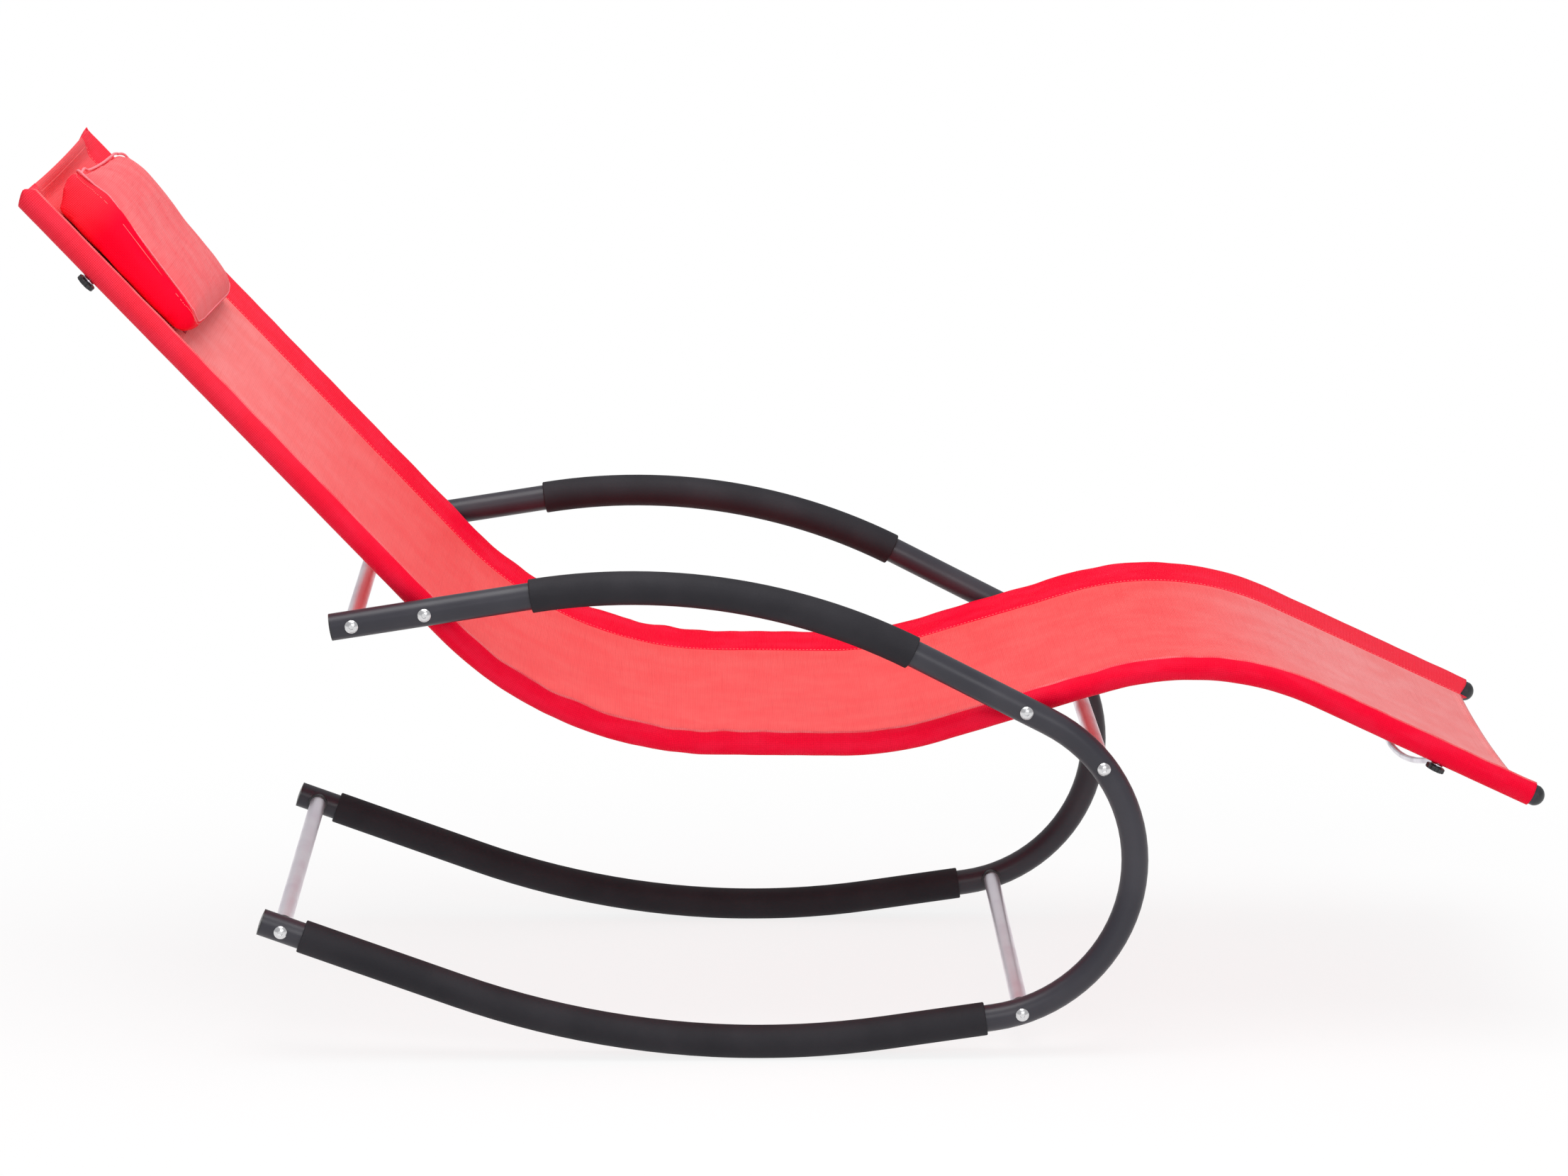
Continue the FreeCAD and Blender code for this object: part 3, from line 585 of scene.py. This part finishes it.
def cloth_spot(w, s):
    """A place just over the sling's upper face, and the way up there."""
    point = cloth_point(w, s)
    outward = cloth_point(w + NEARBY, s) - point
    onward = cloth_point(w, s + NEARBY) - point
    up = outward.cross(onward).normalized() * -1
    if up.dot(rail_at(max(s, 0.0))[2]) < 0:
        up = -up
    return point + up * STITCH_LIFT, up


seams = bmesh.new()
for sign in (-1, 1):
    count = int((hem_end - 0.002) / STITCH)
    stitch_row(seams, [cloth_spot(sign * (half_sheet + 0.002), 0.002 + STITCH * i)
                       for i in range(count)])
for s_row in (0.0015, HEAD_BAND - 0.004, hem_end - FOOT_EDGE - 0.005):
    count = int((2 * half_sheet - 0.01) / STITCH)
    stitch_row(seams, [cloth_spot(0.005 - half_sheet + STITCH * i, s_row) for i in range(count)])
sling_seams = keep_piece("sling_seams", seams, stitching)
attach(sling_seams, "frame")

# Headrest pillow
# A box pillow sewn from the same mesh over loose fill: a top panel, a gusset all round that is
# deepest at the head, and a piped seam between them.
PILLOW_START = 0.0245
PILLOW_END = 0.2245
PILLOW_HALF = 0.185
PILLOW_SHIFT = -0.006
PILLOW_SKEW = 0.040
PILLOW_BASE = 0.0038
PILLOW_CROWN = 0.0045
PILLOW_EDGE = ((0.0, 0.047), (0.04, 0.0515), (0.17, 0.054), (0.30, 0.052), (0.55, 0.0432),
               (0.80, 0.0368), (0.93, 0.0325), (1.0, 0.024))
PILLOW_CLEARANCE = 0.0022

back_ahead = rail_at(0.1)[1]
back_up = rail_at(0.1)[2]


def on_backrest(along, y, height):
    return RAIL_START + back_ahead * along + back_up * height + Vector((0, y, 0))


def sheet_rise(y):
    """Height of the sling's upper face over the rails' centre line."""
    reach = abs(y)
    if reach < half_sheet:
        return -SLING_SAG * (1 - (reach / half_sheet) ** 2)
    return (reach - half_sheet) * math.tan(hem_lean)


def edge_rise(share, out):
    """Height of the piped edge over the rails' line; share runs from the pillow's head to foot."""
    for (low, start), (high, end) in zip(PILLOW_EDGE, PILLOW_EDGE[1:]):
        if share <= high:
            rise = start + (end - start) * (share - low) / (high - low)
            break
    return rise * (0.85 - 0.15 * out / PILLOW_HALF)


def pillow_place(x, y, z):
    """A place on the pillow, from a place on a cube that runs from -1 to 1 in each direction."""
    share = (x + 1) / 2
    # one corner at the head is drawn out and hangs
    drawn = max(-x, 0.0) ** 5 * max(-y, 0.0) ** 5 * (z + 1) / 2
    corner = abs(x) ** 8 * abs(y) ** 8 * (1 - drawn)
    out = y * (PILLOW_HALF - 0.008 * corner + 0.003 * drawn)
    along = (PILLOW_START + share * (PILLOW_END - PILLOW_START)
             - math.copysign(0.005, x) * corner - 0.011 * drawn)
    edge = edge_rise(share, out) - 0.009 * drawn
    pull = 0.0012 * math.sin(34 * y + 2 * x) * math.sin(13 * x + 1)
    top = edge + (PILLOW_CROWN + pull) * (1 - x ** 4) * (1 - y ** 4) ** 0.8
    height = PILLOW_BASE + (top - PILLOW_BASE) * (z + 1) / 2
    low = (1 - z) / 2
    bulge = 0.004 * (1 - z * z)
    if abs(y) > 0.999:
        out += math.copysign(bulge + 0.010 * low ** 2, y)
    if x < -0.999:
        along += 0.011 * low ** 2 - bulge
    if x > 0.999:
        along += bulge - 0.004 * low
    along += PILLOW_SKEW * out
    return on_backrest(along, out + PILLOW_SHIFT, height)


pillow_mesh = bmesh.new()
bmesh.ops.create_cube(pillow_mesh, size=2)
bmesh.ops.subdivide_edges(pillow_mesh, edges=pillow_mesh.edges[:], cuts=39, use_grid_fill=True)
for vertex in pillow_mesh.verts:
    vertex.co = pillow_place(*vertex.co)
bmesh.ops.recalc_face_normals(pillow_mesh, faces=pillow_mesh.faces)

pad = Finish("pillow_mesh_cover", Specular_IOR_Level=0.06)
lean = math.radians(RAIL_SLOPE)
lie = pad.node("Mapping", None, {"Vector": pad.place(), "Rotation": (0, lean, 0)})
along_pad, over_pad, height_pad = [pad.node("SeparateXYZ", None, {0: lie}, i) for i in range(3)]
panel = pad.smooth(pad.node("Attribute", {"attribute_name": "parting"}, None, 2), -0.0008, 0.0004)
thread, holes = woven(pad, along_pad, over_pad + height_pad, THREAD_PITCH)
slubs = pad.noise(1.0, 2.0, (520.0, 14.0, 14.0), lie) - 0.5
mottle = pad.smooth(pad.noise(24.0, 4.0), 0.3, 0.75)
head_line = RAIL_START.x * math.cos(lean) + RAIL_START.z * math.sin(lean)
near_head = pad.smooth(along_pad, head_line + 0.085, head_line + 0.03)
# painted light: the top panel is given a paler pink than the gusset, though both are the same mesh,
# as if lit from above
top_colour_painted_lit = pad.mix(mottle, (0.90, 0.15, 0.16), (0.91, 0.21, 0.215))
# painted sheen: the gusset's threads are made paler pink towards the head end
side_colour = pad.mix(near_head * thread * 0.5, (0.95, 0.0, 0.026), (0.95, 0.11, 0.13))
# painted shade in the open holes between the threads, on the top panel and towards the head, plus
# darker thick yarns on the top panel
depth = holes * (0.25 + near_head * 0.15) * pad.maths("MAXIMUM", panel, near_head) + (
    pad.maths("MAXIMUM", slubs, 0.0) * panel * 0.6)
pad.feed(
    Base_Color=pad.mix(depth, pad.mix(panel, side_colour, top_colour_painted_lit), (0.66, 0.0, 0.018)),
    Roughness=0.66 - thread * 0.2,
)
pad.bump(thread + slubs * 0.6, 0.45, 0.0006)
pillow = keep_piece("headrest_pillow_cover", pillow_mesh, pad)
pillow.select_set(True)
bpy.context.view_layer.objects.active = pillow


def settle(piece, voxel, pressure, cap):
    """Blows the cover up a little as cloth, and keeps each point near where it was sewn."""
    remesh = piece.modifiers.new("remesh", "REMESH")
    remesh.mode = "VOXEL"
    remesh.voxel_size = voxel
    bake(piece)
    sewn = [v.co.copy() for v in piece.data.vertices]
    cloth_part = piece.modifiers.new("cloth", "CLOTH")
    settings = cloth_part.settings
    settings.quality = 6
    settings.use_pressure = True
    settings.uniform_pressure_force = pressure
    settings.tension_stiffness = 12
    settings.compression_stiffness = 12
    settings.bending_stiffness = 0.8
    settings.effector_weights.gravity = 0
    for step in range(1, 21):
        bpy.context.scene.frame_set(step)
    bake(piece)
    bpy.context.scene.frame_set(1)
    for vertex, home in zip(piece.data.vertices, sewn):
        move = vertex.co - home
        if move.length > cap:
            vertex.co = home + move * (cap / move.length)


settle(pillow, voxel=0.005, pressure=4.0, cap=0.003)
smoothed = bmesh.new()
smoothed.from_mesh(pillow.data)
for _ in range(3):
    bmesh.ops.smooth_vert(smoothed, verts=smoothed.verts, factor=0.5,
                          use_axis_x=True, use_axis_y=True, use_axis_z=True)
for vertex in smoothed.verts:
    local = vertex.co - RAIL_START
    height = local.dot(back_up)
    lowest = sheet_rise(vertex.co.y) + PILLOW_CLEARANCE
    if height < lowest:
        vertex.co += back_up * (lowest - height)
smoothed.to_mesh(pillow.data)
smoothed.free()
# how far each point is above the seam, or in from it, which parts the top panel from the gusset
parting = []
for vertex in pillow.data.vertices:
    local = vertex.co - RAIL_START
    out = vertex.co.y - PILLOW_SHIFT
    share = (local.dot(back_ahead) - PILLOW_SKEW * out - PILLOW_START) / (PILLOW_END - PILLOW_START)
    rise = local.dot(back_up) - edge_rise(min(max(share, 0.0), 1.0), out)
    inside = min(share * (PILLOW_END - PILLOW_START), (1 - share) * (PILLOW_END - PILLOW_START),
                 PILLOW_HALF - abs(out))
    parting.append(rise + inside * 0.6)
pillow.data.attributes.new("parting", "FLOAT", "POINT").data.foreach_set("value", parting)
pillow.data.polygons.foreach_set("use_smooth", [True] * len(pillow.data.polygons))
fine = pillow.modifiers.new("fine", "SUBSURF")
fine.levels = 1
fine.render_levels = 1
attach(pillow, "headrest")
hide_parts("headrest_pillow", "pillow_loop_tapes")

# Pillow piping
# A narrow folded strip of the mesh, sewn in between the top panel and the gusset. It stands
# up a little and waves where the seam is gathered.
PIPING_STEPS = 300
CORNER_POWER = 0.13


def round_pillow(count):
    """Evenly turned places on a square with rounded corners, as x and y on the pillow's cube."""
    for index in range(count):
        angle = 2 * math.pi * index / count
        c, s = math.cos(angle), math.sin(angle)
        yield math.copysign(abs(c) ** CORNER_POWER, c), math.copysign(abs(s) ** CORNER_POWER, s)


surface = BVHTree.FromObject(pillow, bpy.context.evaluated_depsgraph_get())
path = []
for x, y in round_pillow(PIPING_STEPS):
    spot, normal, _, _ = surface.find_nearest(pillow_place(x * 0.99, y * 0.99, 1.0))
    head_side = ease(-x, 0.75, 0.99)
    wave = noise.noise(Vector((x * 9, y * 7, 1.5)))
    lift = 0.0002 + 0.0004 * wave + head_side * (0.0018 + 0.0030 * wave)
    path.append((spot + normal * lift - back_ahead * head_side * 0.002, 1.0 + 0.9 * head_side))
curve = bpy.data.curves.new("piping_line", "CURVE")
curve.dimensions = "3D"
curve.bevel_depth = 0.0008
curve.bevel_resolution = 2
spline = curve.splines.new("NURBS")
spline.points.add(len(path) - 1)
for point, (place, width) in zip(spline.points, path):
    point.co = (*place, 1)
    point.radius = width
spline.use_cyclic_u = True
spline.order_u = 3
line = bpy.data.objects.new("piping_line", curve)
bpy.context.scene.collection.objects.link(line)
bpy.context.view_layer.update()
shown_line = line.evaluated_get(bpy.context.evaluated_depsgraph_get())
piping_mesh = bpy.data.meshes.new_from_object(shown_line)
bpy.data.objects.remove(line)
piping = bpy.data.objects.new("pillow_piping", piping_mesh)
bpy.context.scene.collection.objects.link(piping)
cord_cover = Finish("piping_cover", Specular_IOR_Level=0.2)
twill = cord_cover.noise(700.0, 2.0)
cord_cover.feed(
    Base_Color=cord_cover.mix(twill, (0.88, 0.1, 0.13), (0.93, 0.36, 0.4)),
    Roughness=twill * 0.2 + 0.5,
)
cord_cover.bump(twill, 0.3, 0.0005)
piping_mesh.materials.clear()
piping_mesh.materials.append(cord_cover.material)
piping_mesh.polygons.foreach_set("use_smooth", [True] * len(piping_mesh.polygons))
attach(piping, "headrest")

# Pillow stitching
# A row of lockstitch in the sling's thread runs round the gusset, just under the piping, and
# holds the strip there.
PILLOW_STITCHES = 270
STITCH_LEVEL = 0.72
row = []
for x, y in round_pillow(PILLOW_STITCHES):
    spot, normal, _, _ = surface.find_nearest(pillow_place(x, y, STITCH_LEVEL))
    row.append((spot + normal * 0.0004, normal))
pillow_stitches = bmesh.new()
stitch_row(pillow_stitches, row)
pillow_seam = keep_piece("pillow_seam", pillow_stitches, stitching)
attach(pillow_seam, "headrest")

# Hook and loop tapes
# Two strips of hook tape are sewn on the sling under the pillow, and hold it where it is put.
# The loop tapes on the pillow's underside are part of its cover here.
hook = Finish("hook_tape")
hooks = hook.noise(2200.0, 1.0)
hook.feed(
    Base_Color=hook.mix(hooks, (0.35, 0.005, 0.02), (0.55, 0.02, 0.05)),
    Roughness=hooks * 0.1 + 0.75,
)
hook.bump(hooks, 0.6, 0.0006)
TAPE_EDGES = [0.1075, 0.1325]
TAPE_ENDS = [0.045, 0.215]
TAPE_RISE = 0.0012
for side, sign in (("right", -1), ("left", 1)):
    tape, cut = lattice("tape", TAPE_EDGES, spread(TAPE_ENDS, [24]))
    for vertex, y, along in cut:
        vertex.co = on_backrest(along, sign * y, sheet_rise(y) + TAPE_RISE)
    strip = keep_piece(side + "_hook_tape", tape, hook)
    thicken(strip, "tape_thickness", CLOTH_THICKNESS)
    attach(strip, "frame")
    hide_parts("sling_hook_tapes")

# Studio
# A pale floor that shows as plain white, soft light from above and in front, and the camera
# where the photograph was taken from.
floor_mesh = bmesh.new()
bmesh.ops.create_grid(floor_mesh, x_segments=1, y_segments=1, size=14)
pale = Finish("pale_floor", Roughness=0.9, Base_Color=(0.9, 0.9, 0.9, 1))
spot = [pale.node("SeparateXYZ", None, {0: pale.place()}, index) for index in (0, 1)]
from_chair = (spot[0] * spot[0] * 0.45 + spot[1] * spot[1]) ** 0.5
camera_ray, glossy_ray, clear_ray = [pale.node("LightPath", None, None, i) for i in (0, 3, 6)]
seen = pale.maths("MAXIMUM", pale.maths("MAXIMUM", camera_ray, glossy_ray), clear_ray)
share = seen * (pale.smooth(from_chair, 0.4, 1.2) * 0.18 + 0.82)
glow = pale.node("Emission", None, {"Color": (1, 1, 1, 1), "Strength": 1.0})
ground = Value(pale, pale.shader.outputs[0])
shown = pale.node("MixShader", None, {0: share, 1: ground, 2: glow})
pale.tree.links.new(shown.socket, pale.tree.nodes["Material Output"].inputs["Surface"])
floor = keep_piece("floor", floor_mesh, pale, False)

world = bpy.data.worlds.new("studio")
bpy.context.scene.world = world
world.use_nodes = True
nodes, links = world.node_tree.nodes, world.node_tree.links
nodes["Background"].inputs["Color"].default_value = (0.98, 0.98, 1.0, 1)
nodes["Background"].inputs["Strength"].default_value = 0.55
white = nodes.new("ShaderNodeBackground")
white.inputs["Color"].default_value = (1, 1, 1, 1)
ray = nodes.new("ShaderNodeLightPath")
either = nodes.new("ShaderNodeMath")
either.operation = "MAXIMUM"
links.new(ray.outputs["Is Camera Ray"], either.inputs[0])
links.new(ray.outputs["Is Transmission Ray"], either.inputs[1])
choose = nodes.new("ShaderNodeMixShader")
links.new(either.outputs[0], choose.inputs[0])
links.new(nodes["Background"].outputs[0], choose.inputs[1])
links.new(white.outputs[0], choose.inputs[2])
links.new(choose.outputs[0], nodes["World Output"].inputs["Surface"])


def soft_light(name, place, target, size, power):
    lamp = bpy.data.lights.new(name, "AREA")
    lamp.shape = "RECTANGLE"
    lamp.size, lamp.size_y = size
    lamp.energy = power
    holder = bpy.data.objects.new(name, lamp)
    holder.location = place
    holder.rotation_euler = (Vector(target) - Vector(place)).to_track_quat("-Z", "Y").to_euler()
    bpy.context.scene.collection.objects.link(holder)


soft_light("top_light", (-0.3, -0.6, 3.4), (0, 0, 0.4), (2.6, 2.0), 70)
soft_light("front_light", (0.8, -3.8, 2.2), (0, 0, 0.4), (2.4, 1.6), 45)

view = bpy.data.cameras.new("photograph")
view.lens = 117.18
view.sensor_width = 36
camera = bpy.data.objects.new("photograph", view)
camera.location = (-0.1071, -5.5068, 1.5869)
camera.rotation_euler = (math.radians(78.356), 0, math.radians(-1.087))
bpy.context.scene.collection.objects.link(camera)
bpy.context.scene.camera = camera
bpy.context.scene.view_settings.view_transform = "Standard"

bpy.context.view_layer.update()
